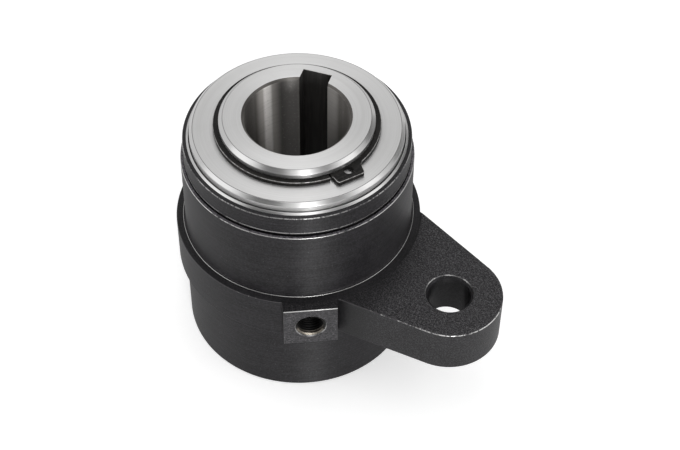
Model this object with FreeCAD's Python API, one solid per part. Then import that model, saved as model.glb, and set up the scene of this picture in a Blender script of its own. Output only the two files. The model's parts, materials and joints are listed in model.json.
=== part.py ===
import FreeCAD, Part

import math
import os

from FreeCAD import Vector

# Overrunning clutch with a torque arm.
# The shaft is keyed in the hub. Rollers in the hub's pockets let it turn one way inside the housing
# and wedge between the hub and a hardened race when it tries to turn back.
#
# Millimetres and degrees. Z runs along the shaft, X points along the torque arm.
# Heights are measured up from the foot, the flat rim that the clutch stands on.
# When a piece is written out it moves down, so that the origin lies in the middle of the shaft's bore.

# Shaft bore and hub
shaft_diameter = 35.0
shaft_bore_chamfer = 1.4
keyway_width = 10.0
keyway_depth = 4.0
keyway_direction = 109.0
hub_end_diameter = 50.0
hub_end_chamfer = 0.5
hub_top_height = 94.0
hub_foot_recess = 1.0

# Housing
body_diameter = 80.0
upper_body_diameter = 78.3
foot_chamfer = 0.8
edge_break = 0.4
collar_height = 0.6
ring_diameter = 84.6
housing_bore_diameter = 72.0
race_seat_height = 19.2
foot_recess_depth = 10.9
labyrinth_web = 2.3
labyrinth_gap = 0.6

# Torque arm, cast in one with the housing
arm_bottom = 31.9
arm_thickness = 17.0
arm_reach = 63.4
arm_end_radius = 17.9
arm_taper = 11.9
arm_hole_diameter = 14.5
arm_hole_chamfer = 0.9
turned_step_depth = 0.4
turned_step_diameter = 85.6

# Pad with the lubrication port
pad_direction = -47.2
pad_face_distance = 45.8
pad_width = 18.1
port_core_diameter = 8.9
port_mouth_diameter = 11.0
port_depth = 8.4
oil_hole_diameter = 3.0

# End cap, screwed into the top of the housing
cap_diameter = 76.1
cap_below_hub_end = 7.5
cap_band_height = 8.2
cap_joint_gap = 0.9
cap_edge_chamfer = 0.65
cap_joint_diameter = 74.4
cap_spigot_depth = 6.2
o_ring_section = 2.4
o_ring_above_spigot_end = 1.3

# Rotating covers and their retaining rings
cover_diameter = 71.3
cover_thickness = 5.0
cover_chamfer = 1.1
cover_running_gap = 0.35
cover_floor_gap = 0.5
clip_thickness = 1.5
clip_below_hub_end = 2.8
clip_groove_depth = 1.5
clip_outer_diameter = 55.4
clip_slit_direction = -29.0
clip_slit_width = 0.7
clip_lug_direction = -18.6
clip_lug_reach = 31.2
clip_lug_width = 8.8
clip_lug_corner = 0.9
clip_shoulder_angle = 13.0
clip_shoulder_height = 0.6
clip_run_out_angle = 15.7
clip_lug_hole_diameter = 2.6
clip_lug_hole_radius = 27.9
clip_lug_hole_side = 0.7

# Bearing bushes, seals and guide plates
bush_end_gap = 0.4
seal_outer_diameter = 62.0
seal_height = 6.0
seal_wall = 1.2
seal_lip_height = 1.6
guide_plate_thickness = 1.2
running_gap = 0.04

# Roller clutch
race_bore_diameter = 65.0
star_diameter = 64.4
star_bottom = 33.0
star_length = 24.2
roller_count = 8
roller_diameter = 8.0
roller_end_gap = 0.3
roller_play = 0.02
wedge_angle = 7.0
pocket_end_gap = 0.7
pocket_corner_radius = 0.8
spring_strip = 0.35
spring_width = 4.6
spring_folds = 4
spring_length = 6.6
spring_end_gap = 1.0
spring_seat_gap = 0.08

# Radii and heights that follow from the sizes above
shaft_r = shaft_diameter / 2
hub_end_r = hub_end_diameter / 2
body_r = body_diameter / 2
upper_body_r = upper_body_diameter / 2
ring_r = ring_diameter / 2
housing_bore_r = housing_bore_diameter / 2
seal_outer_r = seal_outer_diameter / 2
race_bore_r = race_bore_diameter / 2
star_r = star_diameter / 2
roller_r = roller_diameter / 2
labyrinth_r = hub_end_r + labyrinth_gap
cover_r = cover_diameter / 2
cover_pocket_r = cover_r + cover_running_gap

bore_middle_height = (hub_top_height + hub_foot_recess) / 2
arm_top = arm_bottom + arm_thickness
ring_top = arm_top - turned_step_depth
collar_top = ring_top + collar_height
collar_fillet = body_r - upper_body_r
star_top = star_bottom + star_length
roller_circle_r = race_bore_r - roller_r - roller_play

cap_top = hub_top_height - cap_below_hub_end
cap_band_bottom = cap_top - cap_band_height
upper_body_top = cap_band_bottom - cap_joint_gap
cap_spigot_end = upper_body_top - cap_spigot_depth
cover_top = hub_top_height - clip_below_hub_end - clip_thickness
cover_bottom = cover_top - cover_thickness
cap_floor_height = cover_bottom - cover_floor_gap
upper_seal_top = cap_floor_height - labyrinth_web
upper_seal_bottom = upper_seal_top - seal_height
lower_seal_bottom = foot_recess_depth + labyrinth_web

lower_plate_bottom = star_bottom - guide_plate_thickness
upper_plate_top = star_top + guide_plate_thickness
lower_bush_bottom = race_seat_height + bush_end_gap
lower_bush_top = lower_plate_bottom - bush_end_gap
upper_bush_bottom = upper_plate_top + bush_end_gap
upper_bush_top = cap_spigot_end - bush_end_gap

Z_AXIS = Vector(0, 0, 1)


def polar(radius, direction, height=0.0):
    """A point at a radius and a direction seen from above."""
    angle = math.radians(direction)
    return Vector(radius * math.cos(angle), radius * math.sin(angle), height)


def turned(points):
    """A ring turned from a closed outline of (radius, height) corners."""
    corners = [Vector(radius, 0, height) for radius, height in points]
    outline = Part.makePolygon(corners + corners[:1])
    return Part.Face(outline).revolve(Vector(0, 0, 0), Z_AXIS, 360)


def cylinder(radius, bottom, top):
    return Part.makeCylinder(radius, top - bottom, Vector(0, 0, bottom))


def tube(outer_r, inner_r, bottom, top):
    return cylinder(outer_r, bottom, top).cut(cylinder(inner_r, bottom, top))


def turn_about_shaft(shape, direction):
    """A copy of the shape, turned about the shaft's axis."""
    copy = shape.copy()
    copy.rotate(Vector(0, 0, 0), Z_AXIS, direction)
    return copy


def block(x_range, y_range, z_range):
    """A box between two values along each axis."""
    corner = Vector(x_range[0], y_range[0], z_range[0])
    size = [high - low for low, high in (x_range, y_range, z_range)]
    return Part.makeBox(size[0], size[1], size[2], corner)


def write_node(name, shape):
    """Moves a piece to the row's origin and writes it as one STEP file."""
    placed = shape.copy()
    placed.translate(Vector(0, 0, -bore_middle_height))
    placed.exportStep("parts/" + name + ".step")
    solids = len(placed.Solids)
    print(name, "solids", solids, "volume", round(placed.Volume), "valid", placed.isValid())


# Housing: the turned body, with the arm's plate around it


def arm_outline():
    """The tapered arm seen from above: two straight sides joined by its round end."""
    taper = math.radians(arm_taper)
    tangent_x = arm_reach + arm_end_radius * math.sin(taper)
    tangent_y = arm_end_radius * math.cos(taper)
    root_x = 0.0
    root_y = tangent_y + (tangent_x - root_x) * math.tan(taper)
    end_left = Vector(tangent_x, tangent_y, 0)
    end_right = Vector(tangent_x, -tangent_y, 0)
    root_left = Vector(root_x, root_y, 0)
    root_right = Vector(root_x, -root_y, 0)
    tip = Vector(arm_reach + arm_end_radius, 0, 0)
    edges = [
        Part.LineSegment(root_right, end_right).toShape(),
        Part.Arc(end_right, tip, end_left).toShape(),
        Part.LineSegment(end_left, root_left).toShape(),
        Part.LineSegment(root_left, root_right).toShape(),
    ]
    return Part.Face(Part.Wire(edges))


def pad_outline():
    """The square pad seen from above, reaching in under the ring."""
    half = pad_width / 2
    corners = [
        Vector(shaft_r, -half, 0),
        Vector(pad_face_distance, -half, 0),
        Vector(pad_face_distance, half, 0),
        Vector(shaft_r, half, 0),
    ]
    pad = Part.Face(Part.makePolygon(corners + corners[:1]))
    return turn_about_shaft(pad, pad_direction)


def arm_plate():
    """Ring, arm and pad as one plate, with its outer edges broken."""
    ring = Part.Face(Part.Wire(Part.makeCircle(ring_r, Vector(0, 0, 0), Z_AXIS)))
    outline = ring.fuse([arm_outline(), pad_outline()]).removeSplitter()
    plate = outline.Faces[0].extrude(Vector(0, 0, arm_thickness))
    plate.translate(Vector(0, 0, arm_bottom))
    flat_edges = []
    for edge in plate.Edges:
        heights = [vertex.Point.z for vertex in edge.Vertexes]
        if max(heights) - min(heights) < 0.001:
            flat_edges.append(edge)
    return plate.makeChamfer(edge_break, flat_edges)


def housing_body():
    """The turned housing without its arm."""
    recess_r = cover_pocket_r
    outline = [
        (recess_r + edge_break, 0),
        (body_r - foot_chamfer, 0),
        (body_r, foot_chamfer),
        (body_r, collar_top),
        (upper_body_r, collar_top),
        (upper_body_r, upper_body_top - edge_break),
        (upper_body_r - edge_break, upper_body_top),
        (housing_bore_r, upper_body_top),
        (housing_bore_r, race_seat_height),
        (seal_outer_r, race_seat_height),
        (seal_outer_r, lower_seal_bottom),
        (labyrinth_r, lower_seal_bottom),
        (labyrinth_r, foot_recess_depth),
        (recess_r, foot_recess_depth),
        (recess_r, edge_break),
    ]
    return turned(outline)


def collar_foot():
    """The small hollow round where the upper body runs out onto the collar."""
    r = collar_fillet
    start = Vector(upper_body_r + r, 0, collar_top)
    end = Vector(upper_body_r, 0, collar_top + r)
    middle = Vector(upper_body_r + r * (1 - math.sqrt(0.5)), 0, collar_top + r * (1 - math.sqrt(0.5)))
    inside = Vector(upper_body_r - 1, 0, collar_top + r)
    inside_foot = Vector(upper_body_r - 1, 0, collar_top)
    edges = [
        Part.Arc(start, middle, end).toShape(),
        Part.LineSegment(end, inside).toShape(),
        Part.LineSegment(inside, inside_foot).toShape(),
        Part.LineSegment(inside_foot, start).toShape(),
    ]
    return Part.Face(Part.Wire(edges)).revolve(Vector(0, 0, 0), Z_AXIS, 360)


def arm_hole():
    """The hole for the torque pin, with both mouths chamfered."""
    radius = arm_hole_diameter / 2
    wide = radius + arm_hole_chamfer
    outline = [
        (0, arm_bottom - arm_hole_chamfer),
        (wide + arm_hole_chamfer, arm_bottom - arm_hole_chamfer),
        (radius, arm_bottom + arm_hole_chamfer),
        (radius, arm_top - arm_hole_chamfer),
        (wide + arm_hole_chamfer, arm_top + arm_hole_chamfer),
        (0, arm_top + arm_hole_chamfer),
    ]
    hole = turned(outline)
    hole.translate(Vector(arm_reach, 0, 0))
    return hole


def oil_hole():
    """The drilled way from the port to the rollers, through the housing's wall and the race."""
    start = Vector(race_bore_r - 1, 0, arm_bottom + arm_thickness / 2)
    length = pad_face_distance - port_depth - start.x + 1
    drill = Part.makeCylinder(oil_hole_diameter / 2, length, start, Vector(1, 0, 0))
    return turn_about_shaft(drill, pad_direction)


def port_hole():
    """The tapped port: a blind core hole with a countersunk mouth, along X before it is turned."""
    core_r = port_core_diameter / 2
    mouth_r = port_mouth_diameter / 2
    sink = mouth_r - core_r
    inner_end = Vector(pad_face_distance - port_depth, 0, 0)
    core = Part.makeCylinder(core_r, port_depth, inner_end, Vector(1, 0, 0))
    mouth_base = Vector(pad_face_distance - sink, 0, 0)
    mouth = Part.makeCone(core_r, mouth_r + sink, 2 * sink, mouth_base, Vector(1, 0, 0))
    hole = core.fuse(mouth)
    hole.translate(Vector(0, 0, arm_bottom + arm_thickness / 2))
    return turn_about_shaft(hole, pad_direction)


def make_housing():
    step = tube(turned_step_diameter / 2, body_r, ring_top, arm_top + 1)
    plate = arm_plate().cut(cylinder(body_r - 1, arm_bottom, arm_top)).cut(step)
    body = housing_body().fuse([plate, collar_foot()])
    return body.cut([arm_hole(), port_hole(), oil_hole()]).removeSplitter()


def make_outer_race():
    """The hardened sleeve that the rollers wedge against, with an oil hole at the port."""
    race = tube(housing_bore_r, race_bore_r, race_seat_height, cap_spigot_end)
    return race.cut(oil_hole())


def make_end_cap():
    """The screwed cap: a spigot in the housing, a band outside and a bright end face."""
    cap_r = cap_diameter / 2
    joint_r = cap_joint_diameter / 2
    groove_bottom = cap_spigot_end + o_ring_above_spigot_end
    groove_top = groove_bottom + o_ring_section
    groove_r = housing_bore_r - o_ring_section
    outline = [
        (seal_outer_r, cap_spigot_end),
        (housing_bore_r, cap_spigot_end),
        (housing_bore_r, groove_bottom),
        (groove_r, groove_bottom),
        (groove_r, groove_top),
        (housing_bore_r, groove_top),
        (housing_bore_r, upper_body_top),
        (joint_r, upper_body_top),
        (joint_r, cap_band_bottom),
        (cap_r - edge_break, cap_band_bottom),
        (cap_r, cap_band_bottom + edge_break),
        (cap_r, cap_top - cap_edge_chamfer),
        (cap_r - cap_edge_chamfer, cap_top),
        (cover_pocket_r, cap_top),
        (cover_pocket_r, cap_floor_height),
        (labyrinth_r, cap_floor_height),
        (labyrinth_r, upper_seal_top),
        (seal_outer_r, upper_seal_top),
    ]
    return turned(outline)


def make_o_ring():
    """The O-ring, squeezed in its groove, with a section of a few flats in place of the round."""
    section_r = o_ring_section / 2
    flat = section_r * math.tan(math.radians(22.5))
    middle_r = housing_bore_r - section_r
    middle = cap_spigot_end + o_ring_above_spigot_end + section_r
    corners = []
    for quarter in range(4):
        along = (math.cos(math.pi / 2 * quarter), math.sin(math.pi / 2 * quarter))
        across = (-along[1], along[0])
        for side in (-flat, flat):
            radius = middle_r + along[0] * section_r + across[0] * side
            height = middle + along[1] * section_r + across[1] * side
            corners.append((radius, height))
    return turned(corners)


def make_bush(bottom, top):
    """A plain bronze bearing bush between the race and the hub's journal."""
    inner_r = hub_end_r + running_gap
    outline = [
        (inner_r + edge_break, bottom),
        (race_bore_r - edge_break, bottom),
        (race_bore_r, bottom + edge_break),
        (race_bore_r, top - edge_break),
        (race_bore_r - edge_break, top),
        (inner_r + edge_break, top),
        (inner_r, top - edge_break),
        (inner_r, bottom + edge_break),
    ]
    return turned(outline)


def make_seal(bottom, lip_up):
    """A shaft seal: a cup of rubber whose lip runs on the hub."""
    top = bottom + seal_height
    lip_r = hub_end_r + running_gap
    outline = [
        (seal_outer_r, 0),
        (seal_outer_r, seal_height),
        (seal_outer_r - seal_wall, seal_height),
        (seal_outer_r - seal_wall, seal_wall),
        (lip_r + 2 * seal_wall, seal_wall),
        (lip_r + seal_wall, seal_height - seal_lip_height),
        (lip_r + seal_wall, seal_height),
        (lip_r, seal_height - seal_lip_height / 2),
        (lip_r + seal_wall / 2, seal_wall),
        (lip_r + seal_wall, 0),
    ]
    if lip_up:
        return turned([(radius, bottom + height) for radius, height in outline])
    return turned([(radius, top - height) for radius, height in outline])


def make_cover(bottom, face_up):
    """A rotating dust cover, pressed on the hub, with its outer edge chamfered."""
    outline = [
        (hub_end_r, 0),
        (cover_r - edge_break, 0),
        (cover_r, edge_break),
        (cover_r, cover_thickness - cover_chamfer),
        (cover_r - cover_chamfer, cover_thickness),
        (hub_end_r, cover_thickness),
    ]
    if face_up:
        return turned([(radius, bottom + height) for radius, height in outline])
    return turned([(radius, bottom + cover_thickness - height) for radius, height in outline])


def lug_blank():
    """The ring's lug along X: square beside the slit, and run out into the ring on its other side."""
    clip_r = clip_outer_diameter / 2
    groove_r = hub_end_r - clip_groove_depth
    half = clip_lug_width / 2
    corners = [
        Vector(groove_r, -half, 0),
        Vector(clip_lug_reach, -half, 0),
        Vector(clip_lug_reach, half, 0),
        polar(clip_r + clip_shoulder_height, clip_shoulder_angle),
        polar(clip_r, clip_run_out_angle),
        polar(groove_r, clip_run_out_angle),
    ]
    outline = Part.Face(Part.makePolygon(corners + corners[:1]))
    lug = outline.extrude(Vector(0, 0, clip_thickness))
    rounded = []
    for edge in lug.Edges:
        points = [vertex.Point for vertex in edge.Vertexes]
        upright = abs(points[0].z - points[1].z) > clip_thickness / 2
        if upright and points[0].x > clip_lug_reach - 0.001:
            rounded.append(edge)
    return lug.makeFillet(clip_lug_corner, rounded)


def make_retaining_ring(bottom):
    """A spring ring in the hub's groove: slit beside one lug, which has a hole for pliers."""
    top = bottom + clip_thickness
    groove_r = hub_end_r - clip_groove_depth
    ring = cylinder(clip_outer_diameter / 2, bottom, top)
    lug = lug_blank()
    lug.translate(Vector(0, 0, bottom))
    lug = turn_about_shaft(lug, clip_lug_direction)
    hole_middle = Vector(clip_lug_hole_radius, clip_lug_hole_side, bottom)
    hole = Part.makeCylinder(clip_lug_hole_diameter / 2, clip_thickness, hole_middle)
    hole = turn_about_shaft(hole, clip_lug_direction)
    slit = block((0, hub_end_diameter), (-clip_slit_width / 2, clip_slit_width / 2), (bottom, top))
    slit = turn_about_shaft(slit, clip_slit_direction)
    ring = ring.fuse(lug).removeSplitter()
    return ring.cut([cylinder(groove_r, bottom, top), hole, slit])


def make_guide_plate(bottom):
    """A thin plate on the hub that closes the ends of the roller pockets."""
    top = bottom + guide_plate_thickness
    return tube(star_r, hub_end_r, bottom, top)


# Roller clutch: the star of ramp pockets, its rollers and their springs


def ramp_height():
    """Distance of a pocket's flat ramp from the shaft's axis."""
    return roller_circle_r * math.cos(math.radians(wedge_angle)) - roller_r - roller_play


def roller_side():
    """How far the wedged roller's middle lies along its ramp."""
    return roller_circle_r * math.sin(math.radians(wedge_angle))


def spring_seat_side():
    """Where the pocket's wall behind the spring lies along the ramp."""
    return roller_side() - roller_r - spring_seat_gap - spring_length - spring_seat_gap


def pocket():
    """One pocket as a cutter: the flat ramp, the end wall and the wall that seats the spring."""
    low = spring_seat_side()
    high = roller_side() + roller_r + pocket_end_gap
    cutter = block((ramp_height(), star_r + 1), (low, high), (star_bottom, star_top))
    inner_edges = []
    for edge in cutter.Edges:
        points = [vertex.Point for vertex in edge.Vertexes]
        upright = abs(points[0].z - points[1].z) > 1
        if upright and abs(points[0].x - ramp_height()) < 0.001:
            inner_edges.append(edge)
    return cutter.makeFillet(pocket_corner_radius, inner_edges)


def make_inner_race():
    """The hub: shaft bore, keyway, journals, ring grooves and the star of roller pockets."""
    c = hub_end_chamfer
    b = shaft_bore_chamfer
    groove_r = hub_end_r - clip_groove_depth
    low = hub_foot_recess
    high = hub_top_height
    lower_groove = low + clip_below_hub_end
    upper_groove = high - clip_below_hub_end - clip_thickness
    outline = [
        (shaft_r + b, low),
        (hub_end_r - c, low),
        (hub_end_r, low + c),
        (hub_end_r, lower_groove),
        (groove_r, lower_groove),
        (groove_r, lower_groove + clip_thickness),
        (hub_end_r, lower_groove + clip_thickness),
        (hub_end_r, star_bottom),
        (star_r - edge_break, star_bottom),
        (star_r, star_bottom + edge_break),
        (star_r, star_top - edge_break),
        (star_r - edge_break, star_top),
        (hub_end_r, star_top),
        (hub_end_r, upper_groove),
        (groove_r, upper_groove),
        (groove_r, upper_groove + clip_thickness),
        (hub_end_r, upper_groove + clip_thickness),
        (hub_end_r, high - c),
        (hub_end_r - c, high),
        (shaft_r + b, high),
        (shaft_r, high - b),
        (shaft_r, low + b),
    ]
    hub = turned(outline)
    half = keyway_width / 2
    keyway = block((0, shaft_r + keyway_depth), (-half, half), (low, high))
    keyway = turn_about_shaft(keyway, keyway_direction)
    one_pocket = pocket()
    pockets = [turn_about_shaft(one_pocket, pitch_angle(i)) for i in range(roller_count)]
    return hub.cut([keyway] + pockets)


def pitch_angle(index):
    """Direction of each pocket: the keyway lies midway between the last one and the first."""
    return keyway_direction + 180 / roller_count + index * 360 / roller_count


def make_roller(index):
    """One roller, wedged between its ramp and the race."""
    length = star_length - 2 * roller_end_gap
    bottom = star_bottom + roller_end_gap
    middle = Vector(ramp_height() + roller_r + roller_play, roller_side(), bottom)
    blank = Part.makeCylinder(roller_r, length, middle)
    rims = [edge for edge in blank.Edges if edge.Curve.TypeId == "Part::GeomCircle"]
    return turn_about_shaft(blank.makeChamfer(edge_break, rims), pitch_angle(index))


def strip(points, thickness):
    """A folded strip seen from its edge: the line of points, given a thickness."""
    one_side = []
    other_side = []
    for i, point in enumerate(points):
        before = points[max(i - 1, 0)]
        after = points[min(i + 1, len(points) - 1)]
        into = point.sub(before) if i > 0 else after.sub(point)
        out = after.sub(point) if i < len(points) - 1 else into
        into.normalize()
        out.normalize()
        across_in = Vector(-into.y, into.x, 0)
        across_out = Vector(-out.y, out.x, 0)
        mitre = across_in.add(across_out)
        mitre.normalize()
        mitre.multiply(thickness / 2 / mitre.dot(across_in))
        one_side.append(point.add(mitre))
        other_side.append(point.sub(mitre))
    corners = one_side + other_side[::-1]
    return Part.Face(Part.makePolygon(corners + corners[:1]))


def make_spring(index):
    """One folded leaf spring that presses its roller up the ramp."""
    middle_x = ramp_height() + roller_r
    first_y = spring_seat_side() + spring_seat_gap + spring_strip / 2
    last_y = first_y + spring_length - spring_strip
    fold = (last_y - first_y) / spring_folds
    inner_x = middle_x - spring_width / 2
    outer_x = middle_x + spring_width / 2
    points = [Vector(inner_x, first_y, 0), Vector(outer_x, first_y, 0)]
    for i in range(1, spring_folds):
        side_x = inner_x if i % 2 else outer_x
        points.append(Vector(side_x, first_y + i * fold, 0))
    points.append(Vector(inner_x if spring_folds % 2 else outer_x, last_y, 0))
    points.append(Vector(outer_x if spring_folds % 2 else inner_x, last_y, 0))
    leaf = strip(points, spring_strip).extrude(Vector(0, 0, star_length - 2 * spring_end_gap))
    leaf.translate(Vector(0, 0, star_bottom + spring_end_gap))
    return turn_about_shaft(leaf, pitch_angle(index))


def main():
    os.makedirs("parts", exist_ok=True)

    write_node("housing", make_housing())
    write_node("outer_race", make_outer_race())
    write_node("end_cap", make_end_cap())
    write_node("cap_o_ring", make_o_ring())
    write_node("upper_bush", make_bush(upper_bush_bottom, upper_bush_top))
    write_node("lower_bush", make_bush(lower_bush_bottom, lower_bush_top))
    write_node("upper_seal", make_seal(upper_seal_bottom, lip_up=False))
    write_node("lower_seal", make_seal(lower_seal_bottom, lip_up=True))

    write_node("inner_race", make_inner_race())
    write_node("top_cover", make_cover(cover_bottom, face_up=True))
    write_node("top_retaining_ring", make_retaining_ring(cover_top))
    lower_clip_bottom = hub_foot_recess + clip_below_hub_end
    write_node("bottom_retaining_ring", make_retaining_ring(lower_clip_bottom))
    write_node("bottom_cover", make_cover(lower_clip_bottom + clip_thickness, face_up=False))
    write_node("lower_guide_plate", make_guide_plate(lower_plate_bottom))
    write_node("upper_guide_plate", make_guide_plate(star_top))

    for i in range(roller_count):
        write_node("roller_" + str(i + 1), make_roller(i))
        write_node("roller_spring_" + str(i + 1), make_spring(i))


main()
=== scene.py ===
# %% [markdown]
# # A roller overrunning clutch with a torque arm
#
# A shaft is keyed in the bright hub, and the black housing is held still by its arm. The
# construction comes in as a finished frame at its real size. This lesson gives each visible piece
# its real edges, tool marks and wear, and then lights it like a product photo.
# Lengths are named in millimetres and heights count up from the foot, as on a workshop drawing.
# Only the camera, the lamps and what stands round the object are placed in metres.

# %% Load the frame
import json
import math

import bmesh
import bpy
from mathutils import Matrix, Vector


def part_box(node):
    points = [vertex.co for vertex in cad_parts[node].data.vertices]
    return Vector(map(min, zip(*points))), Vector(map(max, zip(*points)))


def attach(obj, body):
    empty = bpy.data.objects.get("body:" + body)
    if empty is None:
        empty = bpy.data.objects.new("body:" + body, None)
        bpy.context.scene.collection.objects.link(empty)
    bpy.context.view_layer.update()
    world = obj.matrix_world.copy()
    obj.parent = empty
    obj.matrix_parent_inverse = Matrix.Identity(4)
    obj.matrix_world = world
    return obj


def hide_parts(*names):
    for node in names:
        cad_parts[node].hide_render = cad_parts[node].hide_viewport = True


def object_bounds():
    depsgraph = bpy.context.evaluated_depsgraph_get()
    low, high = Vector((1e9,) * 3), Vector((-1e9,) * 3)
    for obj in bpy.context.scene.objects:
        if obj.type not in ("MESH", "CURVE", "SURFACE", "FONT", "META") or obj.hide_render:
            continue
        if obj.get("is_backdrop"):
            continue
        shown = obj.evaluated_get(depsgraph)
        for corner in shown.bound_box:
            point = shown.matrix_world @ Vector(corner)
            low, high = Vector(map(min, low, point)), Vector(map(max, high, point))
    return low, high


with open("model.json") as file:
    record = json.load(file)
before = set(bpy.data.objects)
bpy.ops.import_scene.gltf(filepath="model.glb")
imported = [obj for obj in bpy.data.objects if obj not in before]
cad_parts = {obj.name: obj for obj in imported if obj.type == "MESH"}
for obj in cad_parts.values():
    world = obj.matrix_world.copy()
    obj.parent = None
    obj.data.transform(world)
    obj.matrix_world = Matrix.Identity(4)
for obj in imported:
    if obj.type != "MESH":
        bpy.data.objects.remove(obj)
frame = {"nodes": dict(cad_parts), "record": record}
frame_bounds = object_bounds()

# %% [markdown]
# ## Sizes
#
# What a node's box or a mount can tell is read from the frame, so the looks follow the
# construction. The few sizes that no box shows, such as small steps and edge breaks, have names.

# %% Read the frame's sizes
MM = 0.001
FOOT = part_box("housing")[0].z
mounts = {mount["name"]: mount for mount in frame["record"]["mounts"]}


def span(node):
    """A turned node's outer radius and its lowest and highest height, in millimetres."""
    low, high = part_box(node)
    return high.y / MM, (low.z - FOOT) / MM, (high.z - FOOT) / MM


def middle_of(node):
    """The middle of a node's box in millimetres, counted from the frame's origin."""
    low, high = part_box(node)
    return (low + high) / 2 / MM


cap_r, cap_spigot_end, cap_top = span("end_cap")
cover_r, cover_bottom, cover_top = span("top_cover")
star_r = span("lower_guide_plate")[0]
hub_foot, hub_top = span("inner_race")[1:]
housing_bore_r, race_seat = span("outer_race")[:2]
seal_r, lower_seal_bottom = span("lower_seal")[:2]
upper_seal_top = span("upper_seal")[2]
star_bottom = span("lower_guide_plate")[2]
star_top = span("upper_guide_plate")[1]
o_ring_bottom, o_ring_top = span("cap_o_ring")[1:]
upper_body_top = span("housing")[2]
shaft_r = mounts["shaft_bore"]["dims"]["r_mm"]
print("hub", round(hub_foot, 2), "to", round(hub_top, 2), "cap radius", round(cap_r, 2))

# %% Sizes of the hub, the cap and the housing
body_r = 40.0
upper_body_r = 39.15
ring_r = 42.3
hub_r = 25.0
hub_chamfer = 0.5
hub_end_chamfer = 1.3
hub_face_edge = hub_r - hub_chamfer
hub_gap = 0.6
labyrinth_r = hub_r + hub_gap
cover_chamfer = 1.1
cover_gap = 0.35
recess_r = cover_r + cover_gap
foot_recess = 10.9
gap_under_cover = 0.5
cap_floor = cover_bottom - gap_under_cover
cap_joint_width = 0.9
cap_band_bottom = upper_body_top + cap_joint_width
cap_joint_r = 37.2
print("recess radius", round(recess_r, 2), "cap's band from", round(cap_band_bottom, 2))

# %% Sizes of the arm and the pad
turned_step_r = 42.8
turned_step_depth = 0.4
collar_height = 0.6
pad_face = 45.8
pad_width = 18.1

arm_pin = mounts["arm_pin_hole"]
arm_reach = arm_pin["pos_m"][0] / MM
arm_hole_r = arm_pin["dims"]["r_mm"]
arm_hole_chamfer = 0.9
arm_half = arm_pin["dims"]["length_mm"] / 2 + arm_hole_chamfer
arm_middle = (arm_pin["pos_m"][2] - FOOT) / MM
arm_bottom = arm_middle - arm_half
arm_top = arm_middle + arm_half
arm_end_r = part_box("housing")[1].x / MM - arm_reach
arm_taper = math.radians(11.9)
ring_top = arm_top - turned_step_depth
collar_top = ring_top + collar_height
port = mounts["lubrication_port"]
port_height = arm_middle
pad_direction = math.atan2(port["axis"][1], port["axis"][0])
print("arm from", round(arm_bottom, 2), "to", round(arm_top, 2))

# %% [markdown]
# ## Turning a piece
#
# Most pieces of this clutch come off a lathe, so one helper turns them all. It places the corners
# of the section as a wire, rounds each corner by its own edge break and spins the wire round the
# shaft's axis. A cylinder primitive would be quicker, but it has razor edges that never catch
# light. On real parts the broken edge is the brightest line of the piece.

# %% Turn a section
LATHE_STEPS = 256
EDGE_SEGMENTS = 3


def closed_wire(bm, places, rounds, segments):
    """A closed wire through these places, with each corner rounded by its own size."""
    points = [bm.verts.new(place) for place in places]
    for here, there in zip(points, points[1:] + points[:1]):
        bm.edges.new((here, there))
    for point, size in zip(points, rounds):
        if size:
            bmesh.ops.bevel(
                bm, geom=[point], offset=size * MM, segments=segments,
                profile=0.5, affect="VERTICES", material=-1,
            )


def full_spin(bm, steps):
    """Spins a wire once round the Z axis."""
    bmesh.ops.spin(
        bm, geom=bm.verts[:] + bm.edges[:], cent=(0, 0, 0), axis=(0, 0, 1), dvec=(0, 0, 0),
        angle=math.tau, steps=steps, use_merge=True,
    )


def turned(corners):
    """A closed solid turned from the (radius, height, edge break) corners of its section."""
    bm = bmesh.new()
    places = [(radius * MM, 0, FOOT + height * MM) for radius, height, _ in corners]
    closed_wire(bm, places, [corner[2] for corner in corners], EDGE_SEGMENTS)
    full_spin(bm, LATHE_STEPS)
    bmesh.ops.recalc_face_normals(bm, faces=bm.faces)
    return bm


def paint(bm, slot, radii, heights):
    """Gives a finish's slot to the faces whose middle lies between these radii and heights."""
    for face in bm.faces:
        middle = face.calc_center_median()
        radius = math.hypot(middle.x, middle.y) / MM
        height = (middle.z - FOOT) / MM
        if radii[0] <= radius <= radii[1] and heights[0] <= height <= heights[1]:
            face.material_index = slot


print("lathe ready,", LATHE_STEPS, "steps a turn")

# %% [markdown]
# ## Blocks, plates and drilled holes
#
# Milled and cast features start as a block or as a flat outline that is extruded. Holes are
# separate cutters with their chamfer on them, so that the chamfer's faces can carry another
# finish than the wall. Booleans join and cut the finished forms, which is how the real housing is
# made too: a casting first, then the cuts.

# %% Blocks, plates and drills
def block(x_range, y_range, height_range, turn=0.0):
    """A box between two values along each axis, turned about the shaft's axis."""
    bm = bmesh.new()
    lows = Vector((x_range[0], y_range[0], height_range[0])) * MM
    highs = Vector((x_range[1], y_range[1], height_range[1])) * MM
    size = Matrix.Diagonal((*(highs - lows), 1))
    place = Matrix.Translation((lows + highs) / 2 + Vector((0, 0, FOOT)))
    bmesh.ops.create_cube(bm, size=1, matrix=Matrix.Rotation(turn, 4, "Z") @ place @ size)
    return bm


def plate(outline, bottom, top):
    """A flat outline of (x, y, corner radius) points, extruded between two heights."""
    bm = bmesh.new()
    places = [(x * MM, y * MM, FOOT + bottom * MM) for x, y, _ in outline]
    closed_wire(bm, places, [corner[2] for corner in outline], segments=6)
    raise_plate(bm, top - bottom)
    return bm


def raise_plate(bm, thickness):
    """Fills a flat wire and extrudes it upwards."""
    bmesh.ops.contextual_create(bm, geom=bm.edges[:])
    grown = bmesh.ops.extrude_face_region(bm, geom=bm.faces[:])
    top = [part for part in grown["geom"] if isinstance(part, bmesh.types.BMVert)]
    bmesh.ops.translate(bm, vec=(0, 0, thickness * MM), verts=top)
    bmesh.ops.recalc_face_normals(bm, faces=bm.faces)


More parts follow.
